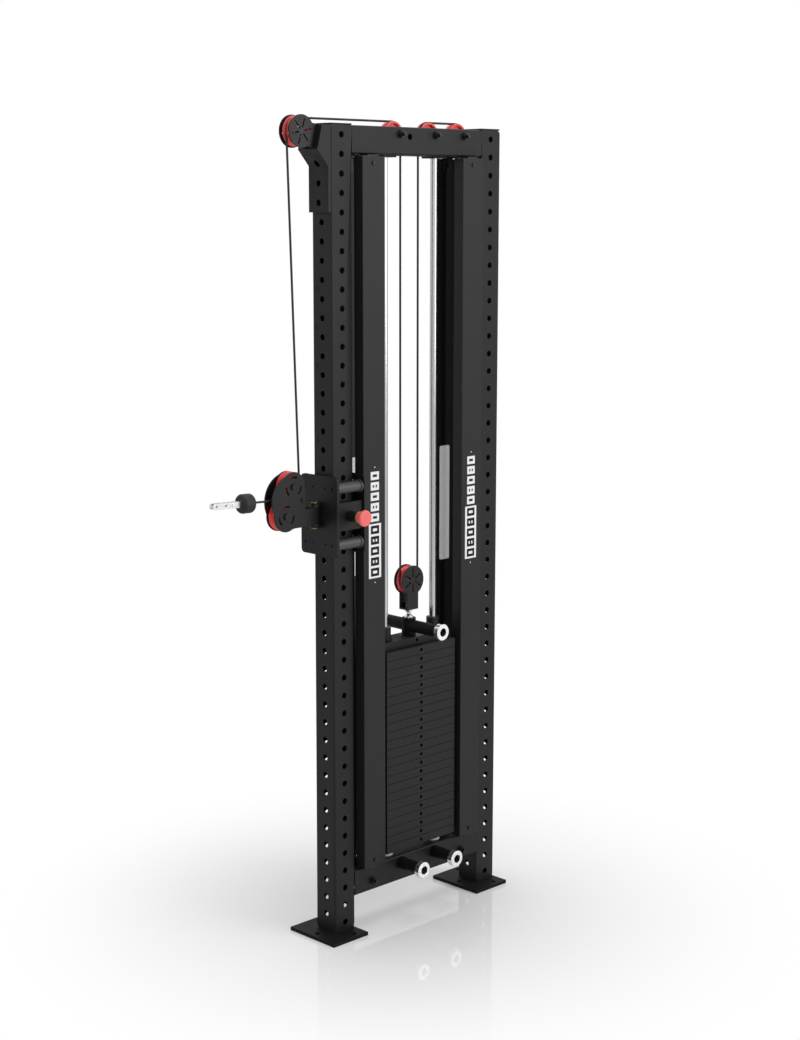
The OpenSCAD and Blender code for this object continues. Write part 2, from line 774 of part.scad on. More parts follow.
module selector_stem() {
    color("#3a3b3d") difference() {
        union() {
            translate([0, 0, stack_z + 2]) cylinder(d = stem_d, h = head_top - stack_z);
            translate([0, 0, head_top]) cylinder(d = hub_d, h = hub_h);
        }
        for (k = [0 : plate_count]) ybar(selector_d, -hub_d, hub_d, 0, stack_z + k * plate_pitch + plate_t / 2);
        ybar(horn_d + 2 * run_gap, -hub_d, hub_d, 0, horn_z);
    }
}

module horn_bar() {
    color("#1f2022") difference() {
        ybar(horn_d, -horn_reach + cap_ring, horn_reach - cap_ring, 0, horn_z);
        ybar(horn_d - 2 * horn_wall, -horn_reach, horn_reach, 0, horn_z);
    }
}

module horn_caps() {
    color("#d6d7d8") translate([0, 0, horn_z]) {
        horn_cap(horn_reach);
        mirror([0, 1, 0]) horn_cap(horn_reach);
    }
}

module float_block() {
    web_z = float_z - float_rise;
    color("#242527") {
        difference() {
            union() {
                for (y = [-cheek_y, inner_half]) xz_plate(y, cheek_t) translate([0, float_z]) difference() {
                    union() {
                        circle(d = cheek_d);
                        translate([-block_w / 2, -float_rise]) square([block_w, float_rise]);
                    }
                    cheek_slots(30);
                }
                translate([-block_w / 2, -cheek_y, web_z]) cube([block_w, 2 * cheek_y, block_web_t]);
            }
            translate([0, 0, web_z - 1]) cylinder(d = hinge_d + 2 * run_gap, h = block_web_t + 2);
            ybar(axle_d + 2 * run_gap, -cheek_y - 1, cheek_y + 1, 0, float_z);
        }
        block_axle(0, float_z, inner_half);
    }
}

module float_bolt() {
    web_z = float_z - float_rise;
    color("#c9cacc") translate([0, 0, hub_top]) {
        cylinder(d = 27, h = 4);
        translate([0, 0, 4]) cylinder(d1 = 24, d2 = hinge_d, h = 7);
        cylinder(d = hinge_d, h = stud_h + block_web_t + 12);
        translate([0, 0, stud_h - 8]) cylinder(d = nut_af / cos(30), h = 8, $fn = 6);
        translate([0, 0, stud_h + block_web_t]) cylinder(d = nut_af / cos(30), h = 10, $fn = 6);
    }
}

// Carriage
module carriage_outline() {
    round_rect(carriage_depth, carriage_h, 12);
}

module carriage_outer_plate() {
    lug_d = barrel_d + 2;
    color("#303133") {
        difference() {
            yz_plate(plate_outer_x, outer_plate_t) translate([0, carriage_z]) carriage_outline();
            for (y = [-roller_y, roller_y], s = [-1, 1])
                xbar(roller_pin_d + 2 * run_gap, plate_outer_x - 1, span_x0 + 1, y, carriage_z + s * roller_dz);
            for (y = [-side_screw_y, side_screw_y], s = [-1, 1])
                xbar(5.4, plate_outer_x - 1, span_x0 + 1, y, carriage_z + s * roller_dz);
            for (s = [-1, 1])
                ybar(4, -carriage_depth / 2 - 1, -carriage_depth / 2 + set_screw_len,
                    plate_outer_x + outer_plate_t / 2, carriage_z + s * roller_dz);
        }
        for (z = [barrel_z0 - washer_h - lug_t, barrel_z1 + washer_h]) difference() {
            union() {
                translate([swivel_x, 0, z]) cylinder(d = lug_d, h = lug_t);
                translate([swivel_x, -lug_d / 2, z]) cube([swivel_out, lug_d, lug_t]);
            }
            translate([swivel_x, 0, z - 1]) cylinder(d = hinge_d + 2 * run_gap, h = lug_t + 2);
        }
    }
}

module carriage_inner_plate() {
    color("#303133") difference() {
        yz_plate(span_x1, inner_plate_t) translate([0, carriage_z]) carriage_outline();
        for (y = [-roller_y, roller_y], s = [-1, 1])
            xbar(roller_pin_d + 2 * run_gap, span_x1 - 1, plate_inner_x + 1, y, carriage_z + s * roller_dz);
    }
}

module carriage_bridge() {
    color("#343537") for (y = [seat_y, -bridge_y]) difference() {
        translate([span_x0, y, carriage_z - bridge_h / 2]) cube([span_x1 - span_x0, bridge_t, bridge_h]);
        ybar(pin_d + 2 * run_gap, seat_y - 1, bridge_y + 1, -axis_x, carriage_z);
    }
}

module roller_pins() {
    color("#8e9092") for (y = [-roller_y, roller_y], s = [-1, 1])
        xbar(roller_pin_d, plate_outer_x + 2, plate_inner_x - 0.5, y, carriage_z + s * roller_dz);
}

// Roller whose flange at the inner end runs beside the upright
module roller(y, s) {
    color("#5a5c5e") translate([span_x0 + 1, y, carriage_z + s * roller_dz]) rotate([0, 90, 0]) difference() {
        union() {
            cylinder(d = roller_d, h = span_x1 - span_x0 - 2);
            translate([0, 0, -face_x - span_x0]) cylinder(d = flange_d, h = inner_gap - 2);
        }
        translate([0, 0, -1]) cylinder(d = roller_pin_d + 2 * run_gap, h = span_x1 - span_x0);
    }
}

module front_upper_roller() { roller(-roller_y, 1); }
module front_lower_roller() { roller(-roller_y, -1); }
module rear_upper_roller() { roller(roller_y, 1); }
module rear_lower_roller() { roller(roller_y, -1); }

module side_pads() {
    pad_w = 2 * side_screw_y + 12;
    color("#e6e6e2") for (s = [-1, 1]) {
        translate([span_x0, -pad_w / 2, carriage_z + s * roller_dz - pad_h / 2])
            cube([outer_gap - air, pad_w, pad_h]);
        translate([-face_x + air, -pad_w / 2, carriage_z + s * roller_dz - pad_h / 2])
            cube([inner_gap - air, pad_w, pad_h]);
    }
}

module hinge_pin() {
    low = barrel_z0 - washer_h - lug_t;
    high = barrel_z1 + washer_h + lug_t;
    head_h = 3;
    color("#b99a52") {
        translate([swivel_x, 0, low - 1]) cylinder(d = hinge_d, h = high - low + 2);
        for (z = [high, low - head_h]) translate([swivel_x, 0, z]) cylinder(d = hinge_d + 7, h = head_h);
        translate([swivel_x, 0, barrel_z0 - washer_h]) cylinder(d = barrel_d, h = washer_h - air);
        translate([swivel_x, 0, barrel_z1 + air]) cylinder(d = barrel_d, h = washer_h - air);
    }
}

module cable_anchor() {
    color("#303133") {
        difference() {
            translate([plate_inner_x, -12, anchor_z - anchor_t / 2])
                cube([anchor_x + 14 - plate_inner_x, 24, anchor_t]);
            translate([anchor_x, 0, anchor_z - anchor_t]) cylinder(d = cable_d + 2, h = 2 * anchor_t);
        }
        translate([anchor_x, 0, anchor_z + anchor_t / 2]) cylinder(d = 14, h = 16);
    }
}

module pop_pin_barrel() {
    color("#161617") difference() {
        union() {
            ybar(pin_barrel_d, nose_root_y, seat_y, -axis_x, carriage_z);
            ybar(nose_d, nose_y, nose_root_y + 1, -axis_x, carriage_z);
        }
        ybar(pin_d + 6, cavity_y, seat_y + 1, -axis_x, carriage_z);
        ybar(pin_stem_d + 2 * run_gap, nose_y - 1, cavity_y + 1, -axis_x, carriage_z);
    }
}

// Pin with the collar that its spring pushes
module pop_pin() {
    color("#c9cacc") {
        ybar(pin_d, collar_y, pin_tip_y, -axis_x, carriage_z);
        ybar(pin_d + 4, collar_y - collar_t, collar_y, -axis_x, carriage_z);
        ybar(pin_stem_d, knob_y - 8, collar_y, -axis_x, carriage_z);
    }
}

// Knob whose skirt slides over the barrel's nose
module pop_pin_knob() {
    edge = 5;
    color("#d8202a") translate([-axis_x, skirt_y, carriage_z]) rotate([90, 0, 0]) rotate_extrude() difference() {
        union() {
            square([skirt_d / 2, skirt_len + 1]);
            translate([0, skirt_len + edge]) square([knob_d / 2, knob_len - 2 * edge]);
            translate([0, skirt_len]) square([knob_d / 2 - edge, knob_len]);
            for (y = [edge, knob_len - edge]) translate([knob_d / 2 - edge, skirt_len + y]) circle(edge);
        }
        translate([-knob_d, -1]) square([knob_d, skirt_len + knob_len + 2]);
        translate([0, -1]) square([nose_d / 2 + 0.5, skirt_len + 1]);
        translate([0, -1]) square([pin_stem_d / 2 + run_gap, skirt_len + 9]);
    }
}

// Coil spring round the pin's stem, pressed between the barrel's end wall and the collar
module pop_pin_spring() {
    turns = 3;
    steps = 14;
    wire_r = 0.8;
    coil_r = pin_stem_d / 2 + wire_r + 0.8;
    y0 = cavity_y + wire_r + 0.2;
    y1 = collar_y - collar_t - wire_r - 0.2;
    n = turns * steps;
    rings = [for (i = [0 : n]) let (a = 360 * i / steps, y = y0 + (y1 - y0) * i / n)
        [for (j = [0 : 5]) let (b = 60 * j, r = coil_r + wire_r * cos(b))
            [-axis_x + r * cos(a), y + wire_r * sin(b), carriage_z + r * sin(a)]]];
    pts = [for (r = rings) for (p = r) p];
    sides = [for (i = [0 : n - 1], j = [0 : 5]) let (a = 6 * i + j, b = 6 * i + (j + 1) % 6)
        each [[a, b, b + 6], [a, b + 6, a + 6]]];
    color("#9a9c9e") polyhedron(pts, concat(sides, [[5, 4, 3, 2, 1, 0]], [[for (j = [0 : 5]) 6 * n + j]]));
}

// Swivel housing with its two pulley axles
bulge_r = 74;

slot_r0 = 23;
slot_r1 = 28;
rivet_d = 8;
rivet_head_d = 13;
rivet_x = upper_x + run_r - 2;

module housing_outline() {
    difference() {
        union() {
            translate([upper_x, upper_z]) circle(d = pulley_d);
            translate([lower_x, lower_z]) circle(d = pulley_d + 4);
            intersection() {
                translate([upper_x, (upper_z + lower_z) / 2]) circle(bulge_r);
                translate([upper_x - 2 * bulge_r, lower_z - 2 * bulge_r]) square([2 * bulge_r, 4 * bulge_r]);
            }
            translate([upper_x, arm_z1 - 1]) square([throat_w, upper_z - arm_z1 + 1]);
            translate([lower_x, arm_z0]) square([swivel_x - arm_short - lower_x, arm_z1 - arm_z0]);
        }
        for (c = [[upper_x, upper_z], [lower_x, lower_z]]) translate(c) arc_slots();
    }
}

module arc_slots() {
    for (a = [90, 205, 335]) difference() {
        intersection() {
            circle(slot_r1);
            rotate(a) polygon([[0, 0], [2 * slot_r1, -slot_r1], [2 * slot_r1, slot_r1]]);
        }
        circle(slot_r0);
    }
}

module swivel_housing() {
    color("#38393b") {
        difference() {
            union() {
                for (y = [-cheek_y, inner_half]) xz_plate(y, cheek_t) housing_outline();
                translate([swivel_x - arm_short - root_len, -inner_half, arm_z0])
                    cube([root_len, 2 * inner_half, arm_z1 - arm_z0]);
                translate([swivel_x, 0, barrel_z0]) cylinder(d = barrel_d, h = barrel_z1 - barrel_z0);
            }
            translate([swivel_x, 0, barrel_z0 - 1])
                cylinder(d = hinge_d + 2 * run_gap, h = barrel_z1 - barrel_z0 + 2);
        }
        for (c = [[upper_x, upper_z], [lower_x, lower_z]]) {
            ybar(axle_d, -cheek_y - 5, cheek_y + 5, c[0], c[1]);
            for (s = [-1, 1]) {
                ybar(axle_d + 6, min(s * cheek_y, s * (cheek_y + 5)), max(s * cheek_y, s * (cheek_y + 5)),
                    c[0], c[1]);
                ybar(axle_d + 7, min(s * (pulley_w / 2 + air), s * inner_half),
                    max(s * (pulley_w / 2 + air), s * inner_half), c[0], c[1]);
            }
        }
        for (s = [-1, 1])
            ybar(rivet_head_d, min(s * cheek_y, s * (cheek_y + 4)), max(s * cheek_y, s * (cheek_y + 4)),
                rivet_x, (upper_z + lower_z) / 2);
        ybar(rivet_d, -cheek_y - 1, cheek_y + 1, rivet_x, (upper_z + lower_z) / 2);
    }
}

upright(-axis_x);  // left_upright
upright(axis_x);  // right_upright
feet();
upright_caps();
top_beam();
bottom_beam();
pulley_bracket();
top_pulley_block();
front_shrouds();
rear_shrouds();
shroud_fixings();
placards();
guide_rods();
rod_seats();
stack_bumpers();
weight_plates();
beam_axles();
storage_pegs();
storage_peg_caps();
cable_fixed_runs();
cable_stack_runs();
cable_float_wrap();
cable_anchor_run();
cable_carriage_run();
cable_swivel_wrap();
cable_tail();
carriage_outer_plate();
carriage_inner_plate();
carriage_bridge();
roller_pins();
front_upper_roller();
front_lower_roller();
rear_upper_roller();
rear_lower_roller();
side_pads();
hinge_pin();
cable_anchor();
pop_pin_barrel();
pop_pin();
pop_pin_knob();
pop_pin_spring();
swivel_housing();
red_pulley(upper_x, upper_z);  // upper_swivel_pulley
red_pulley(lower_x, lower_z);  // lower_swivel_pulley
ball_stop();
end_link();
head_plate();
head_bushings();
selector_stem();
horn_bar();
horn_caps();
float_block();
float_bolt();
red_pulley(0, float_z);  // float_pulley
red_pulley(-beam_pulley_x, top_axle_z, beam_rim_d);  // left_beam_pulley
red_pulley(beam_pulley_x, top_axle_z, beam_rim_d);  // middle_beam_pulley
red_pulley(side_pulley_x, top_axle_z, beam_rim_d);  // right_beam_pulley
red_pulley(-side_pulley_x, bottom_axle_z, beam_rim_d);  // bottom_left_pulley
red_pulley(side_pulley_x, bottom_axle_z, beam_rim_d);  // bottom_right_pulley
red_pulley(outer_pulley_x, top_axle_z);  // top_outer_pulley
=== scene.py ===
"""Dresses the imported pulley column: rounded and finished pieces, markings, studio and camera."""

from __future__ import annotations

import json
import logging
import math
from dataclasses import dataclass, field
from enum import Enum
from typing import Any, Callable, Iterable, Sequence

import bmesh
import bpy
from mathutils import Matrix, Vector

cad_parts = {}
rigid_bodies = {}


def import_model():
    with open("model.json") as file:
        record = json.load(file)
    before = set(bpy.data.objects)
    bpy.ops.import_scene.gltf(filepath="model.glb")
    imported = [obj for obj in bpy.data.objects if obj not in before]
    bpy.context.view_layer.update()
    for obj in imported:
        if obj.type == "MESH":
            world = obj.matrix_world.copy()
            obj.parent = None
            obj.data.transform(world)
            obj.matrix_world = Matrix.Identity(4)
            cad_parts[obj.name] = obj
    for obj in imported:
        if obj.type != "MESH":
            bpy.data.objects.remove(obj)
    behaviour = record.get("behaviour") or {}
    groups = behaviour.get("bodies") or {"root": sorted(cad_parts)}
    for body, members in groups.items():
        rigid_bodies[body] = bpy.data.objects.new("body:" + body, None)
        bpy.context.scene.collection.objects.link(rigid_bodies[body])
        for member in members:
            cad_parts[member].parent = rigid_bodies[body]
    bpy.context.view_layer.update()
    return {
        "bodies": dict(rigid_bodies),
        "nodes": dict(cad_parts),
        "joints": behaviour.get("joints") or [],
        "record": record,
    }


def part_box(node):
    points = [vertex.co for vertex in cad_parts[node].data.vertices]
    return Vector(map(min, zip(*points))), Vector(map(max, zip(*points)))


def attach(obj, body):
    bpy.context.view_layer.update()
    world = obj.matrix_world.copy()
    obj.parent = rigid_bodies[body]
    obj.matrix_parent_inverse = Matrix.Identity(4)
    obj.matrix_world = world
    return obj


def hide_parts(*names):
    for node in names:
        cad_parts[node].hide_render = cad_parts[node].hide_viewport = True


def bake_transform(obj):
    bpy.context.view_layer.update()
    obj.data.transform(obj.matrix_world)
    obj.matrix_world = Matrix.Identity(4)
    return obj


log = logging.getLogger("pulley_column")

MM = 0.001
Rgb = tuple[float, float, float]


# Materials


class Signal:
    """One output of a material's node, with arithmetic that adds Math nodes."""

    def __init__(self, graph: "Graph", socket: bpy.types.NodeSocket) -> None:
        """Keeps the graph and the socket that carries the value."""
        self.graph = graph
        self.socket = socket

    def _math(self, operation: str, first: Any, second: Any) -> "Signal":
        """Adds a Math node.

        Args:
            operation: the Math node's operation.
            first: the first operand, a number or a Signal.
            second: the second operand, a number or a Signal.

        Returns:
            The node's value.
        """
        return self.graph.add("ShaderNodeMath", {"operation": operation}, {0: first, 1: second})

    def __add__(self, other: Any) -> "Signal":
        """Sum."""
        return self._math("ADD", self, other)

    def __radd__(self, other: Any) -> "Signal":
        """Sum, reflected."""
        return self._math("ADD", other, self)

    def __sub__(self, other: Any) -> "Signal":
        """Difference."""
        return self._math("SUBTRACT", self, other)

    def __mul__(self, other: Any) -> "Signal":
        """Product."""
        return self._math("MULTIPLY", self, other)

    def __rmul__(self, other: Any) -> "Signal":
        """Product, reflected."""
        return self._math("MULTIPLY", other, self)

    def above(self, limit: float) -> "Signal":
        """1 where the value is over the limit, else 0."""
        return self._math("GREATER_THAN", self, limit)


class Graph:
    """A node material with one Principled surface."""

    def __init__(self, name: str) -> None:
        """Makes the material and its surface.

        Args:
            name: the material's name.
        """
        self.material = bpy.data.materials.new(name)
        self.material.use_nodes = True
        self.tree = self.material.node_tree
        self.tree.nodes.clear()
        self.output = self.tree.nodes.new("ShaderNodeOutputMaterial")
        self.surface = self.tree.nodes.new("ShaderNodeBsdfPrincipled")
        self.tree.links.new(self.surface.outputs[0], self.output.inputs[0])

    def feed(self, socket: bpy.types.NodeSocket, value: Any) -> None:
        """Sets or links a socket.

        Args:
            socket: the input socket.
            value: a Signal to link, or a plain value to set.
        """
        if isinstance(value, Signal):
            self.tree.links.new(value.socket, socket)
        else:
            socket.default_value = value

    def add(self, kind: str, settings: dict[str, Any] | None = None,
            sockets: dict[Any, Any] | None = None, out: Any = 0) -> Signal:
        """Adds one node.

        Args:
            kind: the node's type.
            settings: its own settings.
            sockets: values or Signals for its inputs, by name or number.
            out: the output to return, by name or number.

        Returns:
            The chosen output.
        """
        node = self.tree.nodes.new(kind)
        for key, value in (settings or {}).items():
            setattr(node, key, value)
        for key, value in (sockets or {}).items():
            self.feed(node.inputs[key], value)
        return Signal(self, node.outputs[out])

    def place(self, stretch: Sequence[float] = (1.0, 1.0, 1.0)) -> Signal:
        """Object coordinates, stretched along the axes."""
        coords = self.add("ShaderNodeTexCoord", out="Object")
        return self.add("ShaderNodeMapping", {}, {"Vector": coords, "Scale": tuple(stretch)})

    def noise(self, scale: float, detail: float = 3.0,
              stretch: Sequence[float] = (1.0, 1.0, 1.0)) -> Signal:
        """Noise on the object's coordinates.

        Args:
            scale: features in each metre.
            detail: octaves.
            stretch: how far the pattern is squeezed along each axis.

        Returns:
            The noise, 0 to 1.
        """
        return self.add("ShaderNodeTexNoise", {}, {
            "Vector": self.place(stretch), "Scale": scale, "Detail": detail, "Roughness": 0.55})

    def blend(self, factor: Any, low: Rgb, high: Rgb) -> Signal:
        """Mixes two colours.

        Args:
            factor: 0 for low, 1 for high.
            low: the first colour.
            high: the second colour.

        Returns:
            The mixed colour.
        """
        return self.add("ShaderNodeMix", {"data_type": "RGBA"},
                        {0: factor, 6: (*low, 1.0), 7: (*high, 1.0)}, 2)

    def dress(self, **values: Any) -> None:
        """Feeds the surface's sockets, with underscores for their spaces."""
        for name, value in values.items():
            self.feed(self.surface.inputs[name.replace("_", " ")], value)

    def bump(self, height: Signal, distance: float) -> None:
        """Feeds the surface's normal from a height.

        Args:
            height: the height, 0 to 1.
            distance: how far that is in metres.
        """
        self.dress(Normal=self.add("ShaderNodeBump", {}, {
            "Height": height, "Distance": distance, "Strength": 1.0}))


def lighter(colour: Rgb, factor: float) -> Rgb:
    """A colour scaled in brightness.

    Args:
        colour: the colour.
        factor: its multiplier.

    Returns:
        The scaled colour, kept at 1 or less.
    """
    return tuple(min(1.0, part * factor) for part in colour)


@dataclass(frozen=True)
class Finish:
    """A plain moulded or painted finish: colour mottle, gloss variation, a fine skin and, where glow is set,
    a painted glow that stands in for light.
    """

    name: str
    colour: Rgb
    roughness: float
    metallic: float = 0.0
    specular: float = 0.5
    mottle: float = 0.12
    mottle_scale: float = 9.0
    skin_scale: float = 700.0
    skin_height: float = 0.00006
    coat: float = 0.0
    streak: tuple[float, float, float] = (1.0, 1.0, 1.0)
    # glow is emission in the finish's own colour: set above 0, it is painted light, a glow on a part that is
    # no lamp
    glow: float = 0.0

    def material(self) -> bpy.types.Material:
        """Makes the material, or finds it if it was made before.

        Returns:
            The material.
        """
        name = f"{self.name}_finish"
        found = bpy.data.materials.get(name)
        if found:
            return found
        graph = Graph(name)
        # Emission at the glow's strength: painted light wherever glow is above 0.
        graph.dress(Metallic=self.metallic, Specular_IOR_Level=self.specular, Coat_Weight=self.coat,
                    Emission_Color=(*self.colour, 1.0), Emission_Strength=self.glow)
        self.shade(graph)
        return graph.material

    def shade(self, graph: Graph) -> None:
        """Feeds colour, roughness and normal.

        Args:
            graph: the material's graph.
        """
        broad = graph.noise(self.mottle_scale, 4.0)
        fine = graph.noise(self.skin_scale, 2.0, self.streak)
        graph.dress(
            Base_Color=graph.blend(broad, lighter(self.colour, 1.0 - self.mottle),
                                   lighter(self.colour, 1.0 + self.mottle)),
            Roughness=self.roughness - 0.06 + 0.08 * broad + 0.06 * fine)
        graph.bump(fine, self.skin_height)


@dataclass(frozen=True)
class PowderCoat(Finish):
    """Textured powder coat: orange peel with tiny bright flecks and faint handling marks."""

    fleck: float = 1.9

    def shade(self, graph: Graph) -> None:
        """Feeds the peel, the flecks and the rubbed patches.

        Args:
            graph: the material's graph.
        """
        broad = graph.noise(5.0, 5.0)
        peel = graph.noise(self.skin_scale, 2.0)
        grain = graph.noise(self.skin_scale * 2.6, 1.0)
        rubs = graph.noise(34.0, 6.0, (1.0, 1.0, 0.35))
        flecks = grain.above(0.64) * 0.55
        tone = broad * 0.55 + rubs * 0.25 + flecks
        graph.dress(
            Base_Color=graph.blend(tone, lighter(self.colour, 0.86), lighter(self.colour, self.fleck * 0.78)),
            Roughness=self.roughness + 0.10 * peel - 0.08 * rubs)
        graph.bump(peel * 0.8 + grain * 0.35, self.skin_height)


@dataclass(frozen=True)
class Brushed(Finish):
    """Bare metal with lines drawn along one axis."""

    lines: float = 0.16

    def shade(self, graph: Graph) -> None:
        """Feeds the drawn lines and a faint cloudiness.

        Args:
            graph: the material's graph.
        """
        cloud = graph.noise(22.0, 4.0)
        drawn = graph.noise(self.skin_scale, 3.0, self.streak)
        graph.dress(
            Base_Color=graph.blend(drawn * 0.7 + cloud * 0.3, lighter(self.colour, 0.88),
                                   lighter(self.colour, 1.1)),
            Roughness=self.roughness + self.lines * (drawn - 0.5) + 0.05 * cloud)
        graph.bump(drawn, self.skin_height)


@dataclass(frozen=True)
class Laid(Finish):
    """Cable jacket over twisted strands."""

    def shade(self, graph: Graph) -> None:
        """Feeds the strands' slanting ribs.

        Args:
            graph: the material's graph.
        """
        ribs = graph.add("ShaderNodeTexWave", {"wave_type": "BANDS", "bands_direction": "DIAGONAL"}, {
            "Vector": graph.place(), "Scale": 150.0, "Distortion": 1.2, "Detail": 1.0}, "Fac")
        dust = graph.noise(60.0, 4.0)
        graph.dress(
            Base_Color=graph.blend(ribs * 0.6 + dust * 0.4, lighter(self.colour, 0.8),
                                   lighter(self.colour, 1.6)),
            Roughness=self.roughness + 0.12 * dust)
        graph.bump(ribs, self.skin_height)


class Look(Enum):
    """The finishes that the column's pieces take."""

    FRAME_PAINT = PowderCoat("frame_powder_coat", (0.0085, 0.0087, 0.0094), 0.44, specular=0.23,
                             skin_scale=620.0, skin_height=0.00012)
    SHEET_PAINT = PowderCoat("shroud_powder_coat", (0.0100, 0.0102, 0.0109), 0.46, specular=0.26,
                             skin_scale=760.0, skin_height=0.00009)
    CHEEK_PAINT = PowderCoat("block_powder_coat", (0.0085, 0.0086, 0.0092), 0.38, specular=0.25,
                             skin_scale=900.0, skin_height=0.00008)
    DULL_PAINT = PowderCoat("dull_powder_coat", (0.0060, 0.0061, 0.0065), 0.55, specular=0.10,
                            skin_scale=620.0, skin_height=0.00012)
    STACK_IRON = PowderCoat("stack_enamel", (0.0072, 0.0074, 0.0080), 0.48, specular=0.25,
                            skin_scale=420.0, skin_height=0.00018, fleck=1.6)
    CHROME = Brushed("chrome_rod", (0.53, 0.535, 0.54), 0.17, metallic=1.0, skin_scale=900.0,
                     skin_height=0.000004, streak=(1.0, 1.0, 0.02), lines=0.05)
    CAP_CHROME = Brushed("polished_cap", (0.90, 0.90, 0.905), 0.20, metallic=1.0, skin_scale=800.0,
                         skin_height=0.000006, streak=(1.0, 0.05, 1.0), lines=0.06)
    STEEL = Brushed("bright_steel", (0.74, 0.745, 0.75), 0.24, metallic=1.0, skin_scale=1500.0,
                    skin_height=0.00001, streak=(0.05, 1.0, 1.0))
    DARK_STEEL = Brushed("blackened_steel", (0.015, 0.0155, 0.017), 0.38, metallic=0.5,
                         skin_scale=1200.0, skin_height=0.00002)
    # The placards' glow is painted light: they shine faintly in their own colour, standing in for light that
    # makes them read brighter than the paint beside them.
    PLACARD = Brushed("placard_aluminium", (0.90, 0.90, 0.90), 0.50, metallic=0.0, skin_scale=700.0,
                      skin_height=0.00001, streak=(1.0, 1.0, 0.03), glow=0.16)
    RED = Finish("red_nylon", (0.92, 0.048, 0.050), 0.24, mottle=0.08, mottle_scale=45.0,
                 skin_scale=1600.0, skin_height=0.00003, coat=0.15)
    KNOB_RED = Finish("knob_red", (0.97, 0.165, 0.155), 0.38, mottle=0.05, mottle_scale=45.0,
                      skin_scale=1600.0, skin_height=0.00002, coat=0.1)
    WHITE = Finish("white_nylon", (0.80, 0.80, 0.78), 0.42, mottle=0.05, mottle_scale=30.0,
                   skin_scale=1400.0, skin_height=0.00003)
    ROLLER = Finish("roller_nylon", (0.050, 0.051, 0.053), 0.42, mottle=0.16, mottle_scale=40.0,
                    skin_scale=1100.0, skin_height=0.00005)
    BLACK_PLASTIC = Finish("black_plastic", (0.0070, 0.0070, 0.0075), 0.48, specular=0.25, mottle=0.2,
                           mottle_scale=50.0, skin_scale=1500.0, skin_height=0.00005)
    RUBBER = Finish("ball_rubber", (0.012, 0.012, 0.0125), 0.60, specular=0.4, mottle=0.25,
                    mottle_scale=70.0, skin_scale=1300.0, skin_height=0.00010)
    BRASS = Brushed("turned_brass", (0.32, 0.24, 0.09), 0.34, metallic=1.0, skin_scale=1600.0,
                    skin_height=0.00001, streak=(1.0, 1.0, 0.2))
    CABLE = Laid("cable_jacket", (0.006, 0.006, 0.0065), 0.36, specular=0.4, skin_height=0.00018)
    WHITE_INK = Finish("white_print", (0.90, 0.90, 0.89), 0.48, mottle=0.04, mottle_scale=120.0,
                       skin_scale=2400.0, skin_height=0.00001)
    DARK_INK = Finish("dark_print", (0.0022, 0.0022, 0.0024), 0.55, specular=0.2, mottle=0.2,
                      mottle_scale=120.0, skin_scale=2400.0, skin_height=0.00001)

    def material(self) -> bpy.types.Material:
        """The finish's material."""
        return self.value.material()


# Meshes


def to_object(bm: bmesh.types.BMesh, name: str, look: Look, crease_deg: float = 38.0) -> bpy.types.Object:
    """Turns a bmesh into a shaded object at the origin.

    Args:
        bm: the mesh, which is freed.
        name: the object's name.
        look: its finish.
        crease_deg: edges sharper than this keep a hard line.

    Returns:
        The object.
    """
    crease = math.radians(crease_deg)
    for face in bm.faces:
        face.smooth = True
    for edge in bm.edges:
        edge.smooth = edge.is_manifold and edge.calc_face_angle(0.0) < crease
    mesh = bpy.data.meshes.new(name)
    bm.to_mesh(mesh)
    bm.free()
    piece = bpy.data.objects.new(name, mesh)
    bpy.context.scene.collection.objects.link(piece)
    mesh.materials.append(look.material())
    even = piece.modifiers.new("even_normals", "WEIGHTED_NORMAL")
    even.keep_sharp = True
    return piece


def lathe(name: str, look: Look, outline: Iterable[tuple[float, float]], centre: Sequence[float],
          axis: Vector, steps: int = 72) -> bpy.types.Object:
    """Spins a closed outline round an axis.

    Args:
        name: the piece's name.
        look: its finish.
        outline: radius and place along the axis of each corner, in millimetres.
        centre: a point on the axis, in metres.
        axis: the axis.
        steps: facets in a full turn.

    Returns:
        The piece.
    """
    bm = bmesh.new()
    axis = axis.normalized()
    across = axis.orthogonal().normalized()
    origin = Vector(centre)
    ring = [bm.verts.new(origin + across * (r * MM) + axis * (t * MM)) for r, t in outline]
    edges = [bm.edges.new((ring[i], ring[(i + 1) % len(ring)])) for i in range(len(ring))]
    bmesh.ops.spin(bm, geom=ring + edges, cent=origin, axis=axis, angle=math.tau, steps=steps, use_merge=True)
    bmesh.ops.remove_doubles(bm, verts=bm.verts, dist=1e-6)
    bmesh.ops.recalc_face_normals(bm, faces=bm.faces)
    return to_object(bm, name, look)


def rounded(corners: Sequence[tuple[float, float]], radii: Sequence[float],
            segments: int = 4) -> list[tuple[float, float]]:
    """Rounds the corners of a closed outline.

    Args:
        corners: the outline's corners.
        radii: the radius at each corner, 0 for a sharp one.
        segments: the number of steps in each rounding.

    Returns:
        The rounded outline.
    """
    points: list[tuple[float, float]] = []
    count = len(corners)
    for index, (corner, radius) in enumerate(zip(corners, radii)):
        here = Vector(corner)
        if radius <= 0:
            points.append(corner)
            continue
        before = (Vector(corners[index - 1]) - here).normalized()
        after = (Vector(corners[(index + 1) % count]) - here).normalized()
        half = before.angle(after) / 2
        reach = radius / math.tan(half)
        hub = here + (before + after).normalized() * (radius / math.sin(half))
        first = here + before * reach - hub
        last = here + after * reach - hub
        turn = first.angle_signed(last)
        for step in range(segments + 1):
            arm = first.copy()
            arm.rotate(Matrix.Rotation(-turn * step / segments, 2))
            points.append(tuple(hub + arm))
    return points


